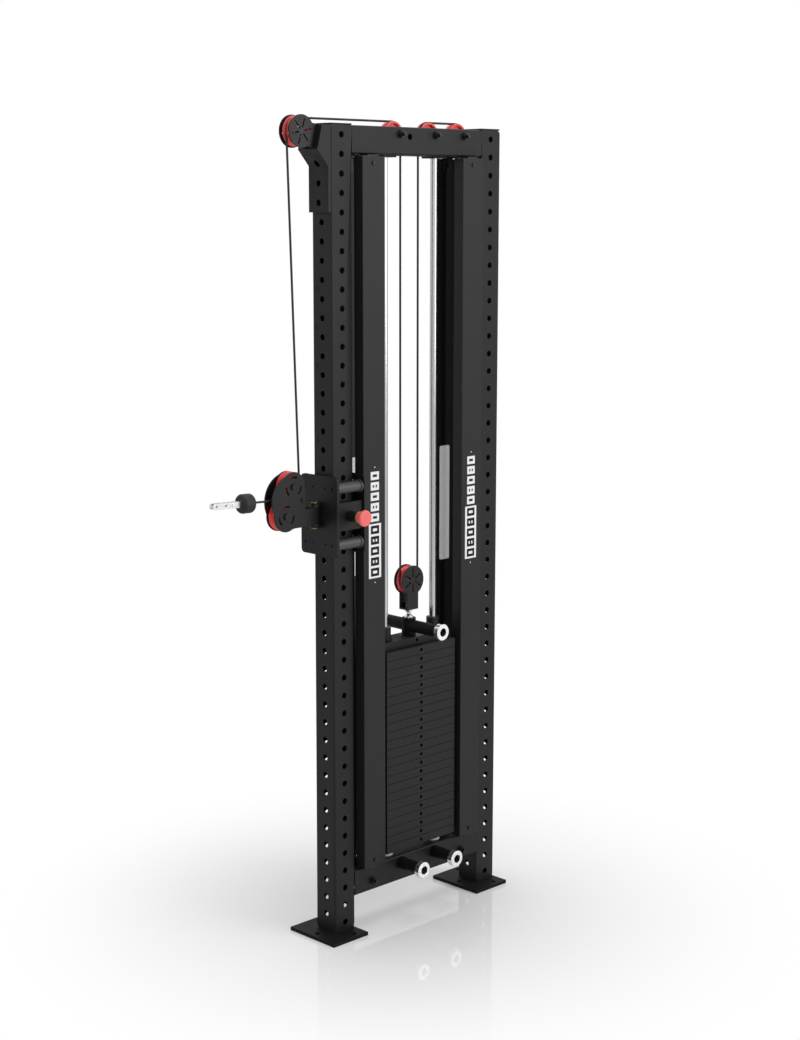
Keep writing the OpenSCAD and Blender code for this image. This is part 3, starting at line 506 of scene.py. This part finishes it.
def block(bm: bmesh.types.BMesh, low: Sequence[float], high: Sequence[float]) -> list[bmesh.types.BMVert]:
    """Adds a box to a bmesh.

    Args:
        bm: the mesh.
        low: the lowest corner, in metres.
        high: the highest corner, in metres.

    Returns:
        The box's corners.
    """
    size = Vector(high) - Vector(low)
    middle = (Vector(high) + Vector(low)) / 2
    matrix = Matrix.Translation(middle) @ Matrix.Diagonal((*size, 1.0))
    return bmesh.ops.create_cube(bm, size=1.0, matrix=matrix)["verts"]


@dataclass(frozen=True)
class Part:
    """One node of the frame and how its copy is finished."""

    node: str
    look: Look
    edge: float = 0.6
    long_edge: float = 0.0
    long_from: float = 400.0
    crease: float = 38.0


@dataclass
class Dresser:
    """Makes the finished copy of a node: merged, cleaned, its edges broken and its curves smooth."""

    frame: dict[str, Any]
    body_of: dict[str, str] = field(init=False)
    merge_within: float = 2e-6
    flat_deg: float = 0.6
    sharp_deg: float = 50.0

    def __post_init__(self) -> None:
        """Notes the body that each node rides on."""
        bodies = self.frame["record"]["behaviour"]["bodies"]
        self.body_of = {node: body for body, nodes in bodies.items() for node in nodes}

    def copy(self, part: Part) -> bpy.types.Object:
        """Copies one node's mesh, breaks its edges and puts it in the node's place.

        Args:
            part: the node and its finish.

        Returns:
            The finished piece.
        """
        bm = bmesh.new()
        bm.from_mesh(self.frame["nodes"][part.node].data)
        bmesh.ops.remove_doubles(bm, verts=bm.verts, dist=self.merge_within)
        bmesh.ops.dissolve_limit(bm, angle_limit=math.radians(self.flat_deg), verts=bm.verts, edges=bm.edges)
        if part.long_edge:
            self.break_edges(bm, part.long_edge, 4, lambda edge: edge.calc_length() > part.long_from * MM)
        if part.edge:
            self.break_edges(bm, part.edge, 2, lambda edge: edge.calc_length() <= part.long_from * MM
                             or not part.long_edge)
        piece = to_object(bm, f"{part.node}_finished", part.look, part.crease)
        return self.settle(piece, part.node)

    def copy_all(self, *parts: Part) -> None:
        """Copies several nodes in turn.

        Args:
            parts: the nodes and their finishes.
        """
        for part in parts:
            self.copy(part)

    def break_edges(self, bm: bmesh.types.BMesh, width: float, segments: int,
                    wanted: Callable[[bmesh.types.BMEdge], bool]) -> None:
        """Rounds the sharp edges that a test picks.

        Args:
            bm: the mesh.
            width: the rounding's width, in millimetres.
            segments: its segments.
            wanted: says whether an edge is rounded.
        """
        sharp = math.radians(self.sharp_deg)
        chosen = [edge for edge in bm.edges
                  if edge.is_manifold and edge.calc_face_angle(0.0) > sharp and wanted(edge)]
        bmesh.ops.bevel(bm, geom=chosen, offset=width * MM, offset_type="OFFSET", segments=segments,
                        profile=0.5, affect="EDGES", clamp_overlap=True, material=-1)

    def settle(self, piece: bpy.types.Object, *nodes: str) -> bpy.types.Object:
        """Rides a piece on its nodes' body and stands it for them.

        Args:
            piece: the piece.
            nodes: the nodes that it stands for.

        Returns:
            The piece.
        """
        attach(piece, self.body_of[nodes[0]])
        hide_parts(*nodes)
        log.info("%s on %s: %d vertices", piece.name, self.body_of[nodes[0]], len(piece.data.vertices))
        return piece


# Sub-assemblies


@dataclass
class Posts:
    """Uprights, beams, feet, caps and the bracket that carries the outer pulley."""

    dresser: Dresser
    tube_corner: float = 6.0

    def build(self) -> None:
        """Makes the welded frame's pieces."""
        for node in ("left_upright", "right_upright", "top_beam", "bottom_beam"):
            self.dresser.copy(Part(node, Look.FRAME_PAINT, 0.5, self.tube_corner))
        self.dresser.copy_all(
            Part("feet", Look.DULL_PAINT, 1.2),
            Part("pulley_bracket", Look.FRAME_PAINT, 0.8),
            Part("top_pulley_block", Look.CHEEK_PAINT, 0.5),
            Part("upright_caps", Look.BLACK_PLASTIC, 1.4),
            Part("beam_axles", Look.DARK_STEEL, 0.5),
            Part("storage_pegs", Look.DULL_PAINT, 0.5),
            Part("storage_peg_caps", Look.CAP_CHROME, 0.4))


@dataclass
class Shrouds:
    """Folded covers of the cable run with their tabs, screws and placards."""

    dresser: Dresser

    def build(self) -> None:
        """Makes the covers' pieces."""
        self.dresser.copy_all(
            Part("front_shrouds", Look.SHEET_PAINT, 0.3, 1.4),
            Part("rear_shrouds", Look.SHEET_PAINT, 0.3, 0.9),
            Part("shroud_fixings", Look.DARK_STEEL, 0.4),
            Part("placards", Look.PLACARD, 0.3))


@dataclass
class Stack:
    """Guide rods, weight plates and the head that lifts them."""

    dresser: Dresser

    def build(self) -> None:
        """Makes the stack's pieces."""
        self.dresser.copy_all(
            Part("guide_rods", Look.CHROME, 0.0),
            Part("rod_seats", Look.BLACK_PLASTIC, 0.6),
            Part("stack_bumpers", Look.WHITE, 1.0),
            Part("weight_plates", Look.STACK_IRON, 0.6),
            Part("head_plate", Look.STACK_IRON, 1.6),
            Part("head_bushings", Look.BLACK_PLASTIC, 1.0),
            Part("selector_stem", Look.DULL_PAINT, 0.5),
            Part("horn_bar", Look.DULL_PAINT, 0.5),
            Part("horn_caps", Look.CAP_CHROME, 0.4),
            Part("float_block", Look.CHEEK_PAINT, 0.5),
            Part("float_bolt", Look.STEEL, 0.5))


@dataclass
class Carriage:
    """Sliding carriage with its rollers, pop pin and swivel hinge."""

    dresser: Dresser
    collar_d: float = 32.0
    collar_bore: float = 28.2
    collar_len: float = 4.0

    def build(self) -> None:
        """Makes the carriage's pieces."""
        self.dresser.copy_all(
            Part("carriage_outer_plate", Look.FRAME_PAINT, 0.8),
            Part("carriage_inner_plate", Look.FRAME_PAINT, 0.6),
            Part("carriage_bridge", Look.FRAME_PAINT, 0.6),
            Part("roller_pins", Look.DARK_STEEL, 0.6))
        for node in ("front_upper_roller", "front_lower_roller", "rear_upper_roller", "rear_lower_roller"):
            self.dresser.copy(Part(node, Look.ROLLER, 1.0))
        self.dresser.copy_all(
            Part("side_pads", Look.WHITE, 0.6),
            Part("hinge_pin", Look.BRASS, 0.6),
            Part("cable_anchor", Look.DARK_STEEL, 0.5),
            Part("pop_pin_barrel", Look.DARK_STEEL, 0.5),
            Part("pop_pin", Look.STEEL, 0.6),
            Part("pop_pin_knob", Look.KNOB_RED, 0.8))
        self.knob_collar()
        self.dresser.copy_all(
            Part("pop_pin_spring", Look.STEEL, 0.0, crease=80.0),
            Part("swivel_housing", Look.CHEEK_PAINT, 0.5),
            Part("ball_stop", Look.RUBBER, 0.0),
            Part("end_link", Look.STEEL, 0.4))

    def knob_collar(self) -> None:
        """Makes the brass ring pressed round the open end of the knob's skirt."""
        low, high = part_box("pop_pin_knob")
        centre = ((low.x + high.x) / 2, high.y, (low.z + high.z) / 2)
        outer, inner = self.collar_d / 2, self.collar_bore / 2
        outline = rounded([(inner, 0.0), (outer, 0.0), (outer, self.collar_len), (inner, self.collar_len)],
                          [0.0, 0.8, 0.8, 0.0], 3)
        collar = lathe("knob_collar", Look.BRASS, outline, centre, Vector((0, -1, 0)))
        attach(collar, self.dresser.body_of["pop_pin_knob"])
        log.info("%s on %s", collar.name, self.dresser.body_of["pop_pin_knob"])


@dataclass
class Pulleys:
    """Grooved nylon sheaves on shielded bearings."""

    dresser: Dresser
    groove: float = 30.6
    groove_half: float = 1.8
    throat: float = 2.0
    throat_half: float = 3.2
    mouth_half: float = 7.4
    hub: float = 18.0
    web: float = 28.0
    draft: float = 0.6
    web_depth: float = 7.0
    bore: float = 14.05
    axle: float = 6.05
    inner_ring: float = 8.6
    outer_ring: float = 11.8
    ring_chamfer: float = 0.2
    shield_depth: float = 0.8
    race: float = 14.0
    nodes: tuple[str, ...] = (
        "left_beam_pulley", "middle_beam_pulley", "right_beam_pulley", "bottom_left_pulley",
        "bottom_right_pulley", "top_outer_pulley", "float_pulley", "upper_swivel_pulley",
        "lower_swivel_pulley")

    def build(self) -> None:
        """Makes a sheave and a bearing for each pulley."""
        across = Vector((0, 1, 0))
        for node in self.nodes:
            low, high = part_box(node)
            centre = (low + high) / 2
            half = (high.y - low.y) / 2 / MM
            rim = (high.z - low.z) / 2 / MM
            sheave = lathe(f"{node}_sheave", Look.RED, self.sheave_outline(rim, half), centre, across)
            self.dresser.settle(sheave, node)
            bearing = lathe(f"{node}_bearing", Look.STEEL, self.bearing_outline(half), centre, across, 48)
            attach(bearing, self.dresser.body_of[node])
            log.info("%s on %s", bearing.name, self.dresser.body_of[node])

    def sheave_outline(self, rim: float, half: float) -> list[tuple[float, float]]:
        """The sheave's section, as radius and place along the axle.

        Args:
            rim: the sheave's radius.
            half: half its width.

        Returns:
            The closed outline.
        """
        floor = -half + self.web_depth
        side = [(self.bore, -half), (self.hub, -half), (self.hub + self.draft, floor), (self.web, floor),
                (self.web + self.draft, -half), (rim, -half), (rim, -self.mouth_half),
                (self.groove + self.throat, -self.throat_half), (self.groove, -self.groove_half)]
        other = [(r, -t) for r, t in reversed(side)]
        radii = [0.4, 0.5, 0.5, 1.0, 0.5, 1.1, 0.8, 1.2, 0.9]
        return rounded(side + other, radii + list(reversed(radii)), 3)

    def bearing_outline(self, half: float) -> list[tuple[float, float]]:
        """The bearing's section: two rings with a shield set back between them.

        Args:
            half: half the bearing's width.

        Returns:
            The closed outline.
        """
        shield = -half + self.shield_depth
        side = [(self.axle, -half), (self.inner_ring, -half), (self.inner_ring + self.ring_chamfer, shield),
                (self.outer_ring - self.ring_chamfer, shield), (self.outer_ring, -half), (self.race, -half)]
        return side + [(r, -t) for r, t in reversed(side)]


@dataclass
class Cable:
    """The cable's straight runs between what carries them, and its turns round the pulleys."""

    dresser: Dresser
    radius: float = 3.0

    def build(self) -> None:
        """Makes the fixed turns and the straight runs."""
        for node in ("cable_fixed_runs", "cable_float_wrap", "cable_swivel_wrap"):
            self.dresser.copy(Part(node, Look.CABLE, 0.0, crease=60.0))
        self.run("cable_carriage_run", "frame", "carriage", top_first=True)
        self.run("cable_anchor_run", "frame", "carriage", top_first=False)
        self.pair("cable_stack_runs", "frame", "weight_head")
        self.tail()

    def tube(self, bm: bmesh.types.BMesh, start: Vector, end: Vector, rings: int = 24) -> None:
        """Adds a straight run of cable.

        Args:
            bm: the mesh.
            start: the middle of its first end.
            end: the middle of its last end.
            rings: its steps along the run.
        """
        along = end - start
        turn = along.to_track_quat("Z", "Y").to_matrix().to_4x4()
        made = bmesh.ops.create_circle(bm, cap_ends=True, radius=self.radius * MM, segments=20,
                                       matrix=Matrix.Translation(start) @ turn)
        faces = list({face for vert in made["verts"] for face in vert.link_faces})
        for step in range(rings):
            grown = bmesh.ops.extrude_face_region(bm, geom=faces, use_keep_orig=step == 0)["geom"]
            faces = [item for item in grown if isinstance(item, bmesh.types.BMFace)]
            verts = [item for item in grown if isinstance(item, bmesh.types.BMVert)]
            bmesh.ops.translate(bm, verts=verts, vec=along / rings)
        bmesh.ops.recalc_face_normals(bm, faces=bm.faces)

    def ends(self, node: str) -> tuple[Vector, Vector]:
        """Finds the ends of a run from its node's mesh, lowest first.

        Args:
            node: the run's node.

        Returns:
            The middles of the lower and upper end.
        """
        points = [vert.co for vert in self.dresser.frame["nodes"][node].data.vertices]
        low = min(point.z for point in points)
        high = max(point.z for point in points)
        middle = (low + high) / 2
        ends = []
        for side in (lambda z: z < middle, lambda z: z >= middle):
            group = [point for point in points if side(point.z)]
            lows = Vector(min(point[axis] for point in group) for axis in range(3))
            highs = Vector(max(point[axis] for point in group) for axis in range(3))
            ends.append((lows + highs) / 2)
        return ends[0], ends[1]

    def run(self, node: str, first: str, last: str, top_first: bool) -> None:
        """Makes one straight run between the ends of its node.

        Args:
            node: the run's node.
            first: the body named in the log for its first end.
            last: the body named in the log for its last end.
            top_first: whether the first end is the upper one.
        """
        lower, upper = self.ends(node)
        start, end = (upper, lower) if top_first else (lower, upper)
        bm = bmesh.new()
        self.tube(bm, start, end)
        piece = to_object(bm, f"{node}_stretch", Look.CABLE)
        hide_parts(node)
        tuple(start)
        tuple(end)
        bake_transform(piece)
        log.info("%s between %s and %s", piece.name, first, last)

    def pair(self, node: str, first: str, last: str) -> None:
        """Makes the two runs that carry the floating pulley.

        Args:
            node: the runs' node.
            first: the body named in the log for their upper ends.
            last: the body named in the log for their lower ends.
        """
        low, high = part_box(node)
        bm = bmesh.new()
        for x in (low.x + self.radius * MM, high.x - self.radius * MM):
            self.tube(bm, Vector((x, 0, high.z)), Vector((x, 0, low.z)), 30)
        piece = to_object(bm, f"{node}_stretch", Look.CABLE)
        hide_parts(node)
        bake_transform(piece)
        log.info("%s between %s and %s", piece.name, first, last)

    def tail(self) -> None:
        """Makes the tail, a straight run between the swivel's pulley and the ball stop."""
        low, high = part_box("cable_tail")
        start = Vector((high.x, 0, low.z + self.radius * MM))
        end = Vector((low.x, 0, high.z - self.radius * MM))
        bm = bmesh.new()
        self.tube(bm, start, end, 12)
        piece = to_object(bm, "cable_tail_stretch", Look.CABLE)
        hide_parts("cable_tail")
        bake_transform(piece)
        log.info("%s between swivel and cable_end", piece.name)


@dataclass
class Markings:
    """Printed hole numbers and the plain prints on the shrouds."""

    dresser: Dresser
    number_count: int = 10
    first_z: float = 885.0
    step_z: float = 100.0
    height: float = 13.5
    body_per_height: float = 1.4
    across: float = 20.5
    proud: float = 0.12
    print_x: float = 190.0
    left_span: tuple[float, float] = (993.5, 1306.5)
    right_span: tuple[float, float] = (997.4, 1312.6)
    print_half: float = 23.0
    block_foot: float = 8.0
    block_share: float = 0.48
    block_rim: float = 2.0
    row_gap: float = 3.0
    row_top: float = 9.0
    mark_half: float = 15.5
    mark_count: int = 5
    mark_share: float = 0.78
    stroke: float = 7.5
    bar_half: float = 2.6
    dot_r: float = 1.8
    dot_drop: float = 4.0

    def build(self) -> None:
        """Prints the numbers and the shrouds' prints."""
        self.numbers()
        low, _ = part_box("front_shrouds")
        self.label("left_shroud", -self.print_x, low.y, *self.left_span)
        self.label("right_shroud", self.print_x, low.y, *self.right_span)

    def numbers(self) -> None:
        """Prints 1 to 10 beside the left upright's side holes."""
        low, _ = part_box("left_upright")
        facing = Matrix(((0, 0, -1, 0), (-1, 0, 0, 0), (0, 1, 0, 0), (0, 0, 0, 1)))
        bm = bmesh.new()
        for index in range(self.number_count):
            curve = bpy.data.curves.new(f"number_{index + 1}", "FONT")
            curve.body = str(index + 1)
            curve.size = self.height * self.body_per_height * MM
            curve.align_x = "CENTER"
            curve.align_y = "CENTER"
            curve.extrude = self.proud * MM
            holder = bpy.data.objects.new(curve.name, curve)
            bpy.context.scene.collection.objects.link(holder)
            mesh = holder.to_mesh()
            height = self.first_z + self.step_z * index
            place = Vector((low.x - self.proud * MM, self.across * MM, height * MM))
            mesh.transform(Matrix.Translation(place) @ facing)
            bm.from_mesh(mesh)
            holder.to_mesh_clear()
            bpy.data.objects.remove(holder)
        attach(to_object(bm, "hole_numbers", Look.DARK_INK), "frame")
        log.info("hole_numbers on frame")

    def patch(self, bm: bmesh.types.BMesh, span_x: tuple[float, float], span_z: tuple[float, float],
              face_y: float, proud: float) -> None:
        """Adds one flat printed patch.

        Args:
            bm: the mesh.
            span_x: its left and right edge, in millimetres.
            span_z: its lower and upper edge, in millimetres.
            face_y: the face that it lies on, in metres.
            proud: how far it stands out, in millimetres.
        """
        block(bm, (span_x[0] * MM, face_y - proud * MM, span_z[0] * MM),
              (span_x[1] * MM, face_y, span_z[1] * MM))

    def marks(self, bm: bmesh.types.BMesh, x: float, span_z: tuple[float, float], face_y: float,
              proud: float) -> None:
        """Adds a row of plain rings, every second one with a bar through it.

        Args:
            bm: the mesh.
            x: the row's middle, in millimetres.
            span_z: its lower and upper end, in millimetres.
            face_y: the face that it lies on, in metres.
            proud: how far it stands out, in millimetres.
        """
        pitch = (span_z[1] - span_z[0]) / self.mark_count
        left, right = x - self.mark_half, x + self.mark_half
        for index in range(self.mark_count):
            low = span_z[0] + pitch * (index + (1.0 - self.mark_share) / 2)
            high = low + self.mark_share * pitch
            for inner in (left, right - self.stroke):
                self.patch(bm, (inner, inner + self.stroke), (low, high), face_y, proud)
            for edge in (low, high - self.stroke):
                self.patch(bm, (left + self.stroke, right - self.stroke), (edge, edge + self.stroke),
                           face_y, proud)
            if index % 2:
                self.patch(bm, (x - self.bar_half, x + self.bar_half),
                           (low + self.stroke, high - self.stroke), face_y, proud)

    def label(self, name: str, x: float, face_y: float, low: float, high: float) -> None:
        """Prints a white block with dark marks and a row of white marks above it, between two dots.

        Args:
            name: the shroud's name.
            x: the print's middle, in millimetres.
            face_y: the shroud's face, in metres.
            low: the lower dot's height, in millimetres.
            high: the upper dot's height, in millimetres.
        """
        white = bmesh.new()
        foot = low + self.block_foot
        middle = foot + self.block_share * (high - low)
        self.patch(white, (x - self.print_half, x + self.print_half), (foot, middle), face_y, self.proud)
        self.marks(white, x, (middle + self.row_gap, high - self.row_top), face_y, self.proud)
        upright = Matrix.Rotation(math.pi / 2, 4, "X")
        for z in (low - self.dot_drop, high):
            place = Matrix.Translation((x * MM, face_y - self.proud / 2 * MM, z * MM))
            bmesh.ops.create_cone(white, cap_ends=True, segments=20, radius1=self.dot_r * MM,
                                  radius2=self.dot_r * MM, depth=self.proud * MM, matrix=place @ upright)
        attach(to_object(white, f"{name}_print", Look.WHITE_INK), "frame")
        dark = bmesh.new()
        self.marks(dark, x, (foot + self.block_rim, middle - self.block_rim), face_y, 2 * self.proud)
        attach(to_object(dark, f"{name}_print_marks", Look.DARK_INK), "frame")
        log.info("%s_print and %s_print_marks on frame", name, name)


@dataclass(frozen=True)
class Lamp:
    """One soft square lamp: its place and aim in metres, its side and its power in watts."""

    name: str
    place: tuple[float, float, float]
    aim: tuple[float, float, float]
    size: float
    power: float

    def build(self) -> None:
        """Adds the lamp to the scene."""
        data = bpy.data.lights.new(self.name, "AREA")
        data.shape = "SQUARE"
        data.size = self.size
        data.energy = self.power
        lamp = bpy.data.objects.new(self.name, data)
        lamp.location = self.place
        facing = Vector(self.aim) - Vector(self.place)
        lamp.rotation_euler = facing.to_track_quat("-Z", "Y").to_euler()
        lamp.visible_camera = False
        bpy.context.scene.collection.objects.link(lamp)


@dataclass
class Studio:
    """Pale floor, soft lamps and the camera."""

    eye: tuple[float, float, float] = (-3.639, -3.637, 2.013)
    pan_deg: float = 44.74
    tilt_deg: float = -9.72
    focal_px: float = 1858.7
    frame_px: float = 1040.0
    sensor: float = 36.0
    lamps: tuple[Lamp, ...] = (
        Lamp("key_lamp", (2.2, -4.8, 2.7), (0.0, 0.0, 1.0), 3.4, 118.0),
        Lamp("top_lamp", (0.2, 0.1, 5.2), (0.0, 0.0, 0.0), 3.0, 78.0))
    floor_reach: float = 60.0
    shaded_to: float = 0.1
    white_from: float = 1.2
    least_white: float = 0.05
    surround_light: float = 0.44

    def build(self) -> None:
        """Sets up the view, the lamps, the floor and the world."""
        bpy.context.scene.view_settings.view_transform = "Standard"
        self.camera()
        for lamp in self.lamps:
            lamp.build()
        self.floor()
        self.world()

    def camera(self) -> None:
        """Places the camera at the fitted eye point."""
        pan = math.radians(self.pan_deg)
        tilt = math.radians(self.tilt_deg)
        ahead = Vector((math.sin(pan) * math.cos(tilt), math.cos(pan) * math.cos(tilt), math.sin(tilt)))
        data = bpy.data.cameras.new("view_camera")
        data.sensor_fit = "AUTO"
        data.sensor_width = self.sensor
        data.lens = self.focal_px / self.frame_px * self.sensor
        data.clip_end = 200.0
        camera = bpy.data.objects.new("view_camera", data)
        camera.location = self.eye
        camera.rotation_euler = ahead.to_track_quat("-Z", "Y").to_euler()
        bpy.context.scene.collection.objects.link(camera)
        bpy.context.scene.camera = camera

    def floor(self) -> None:
        """Lays a pale floor that fades to white far from the column."""
        bm = bmesh.new()
        bmesh.ops.create_grid(bm, x_segments=8, y_segments=8, size=self.floor_reach)
        mesh = bpy.data.meshes.new("studio_floor")
        bm.to_mesh(mesh)
        bm.free()
        floor = bpy.data.objects.new("studio_floor", mesh)
        bpy.context.scene.collection.objects.link(floor)
        graph = Graph("studio_floor")
        cloud = graph.noise(1.5, 2.0)
        graph.dress(Base_Color=graph.blend(cloud, (0.955, 0.955, 0.96), (0.975, 0.975, 0.975)),
                    Roughness=0.05 + 0.02 * cloud, Specular_IOR_Level=0.28)
        distance = graph.add("ShaderNodeVectorMath", {"operation": "LENGTH"}, {
            0: graph.add("ShaderNodeTexCoord", out="Object")}, "Value")
        far = graph.add("ShaderNodeMapRange", {"interpolation_type": "SMOOTHSTEP"}, {
            "Value": distance, "From Min": self.shaded_to, "From Max": self.white_from,
            "To Min": self.least_white})
        seen = graph.add("ShaderNodeLightPath", out="Is Camera Ray")
        glow = graph.add("ShaderNodeEmission", {}, {"Color": (1.0, 1.0, 1.0, 1.0), "Strength": 1.0})
        mixed = graph.add("ShaderNodeMixShader", {}, {
            0: far * seen, 1: Signal(graph, graph.surface.outputs[0]), 2: glow})
        graph.tree.links.new(mixed.socket, graph.output.inputs[0])
        mesh.materials.append(graph.material)

    def world(self) -> None:
        """Sets a white surround that lights the column softly."""
        world = bpy.data.worlds.new("studio")
        bpy.context.scene.world = world
        world.use_nodes = True
        tree = world.node_tree
        tree.nodes.clear()
        output = tree.nodes.new("ShaderNodeOutputWorld")
        path = tree.nodes.new("ShaderNodeLightPath")
        seen = path.outputs["Is Camera Ray"]
        for ray in ("Is Transmission Ray", "Is Glossy Ray"):
            either = tree.nodes.new("ShaderNodeMath")
            either.operation = "MAXIMUM"
            tree.links.new(seen, either.inputs[0])
            tree.links.new(path.outputs[ray], either.inputs[1])
            seen = either.outputs[0]
        strength = tree.nodes.new("ShaderNodeMapRange")
        strength.inputs["To Min"].default_value = self.surround_light
        strength.inputs["To Max"].default_value = 1.0
        tree.links.new(seen, strength.inputs["Value"])
        back = tree.nodes.new("ShaderNodeBackground")
        back.inputs["Color"].default_value = (1.0, 1.0, 1.0, 1.0)
        tree.links.new(strength.outputs[0], back.inputs["Strength"])
        tree.links.new(back.outputs[0], output.inputs[0])


def main() -> None:
    """Builds the column's pieces in order."""
    logging.basicConfig(level=logging.INFO, format="%(message)s")
    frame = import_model()
    dresser = Dresser(frame)
    Studio().build()
    Posts(dresser).build()
    Shrouds(dresser).build()
    Stack(dresser).build()
    Carriage(dresser).build()
    Pulleys(dresser).build()
    Cable(dresser).build()
    Markings(dresser).build()


if __name__ == "__main__":
    main()
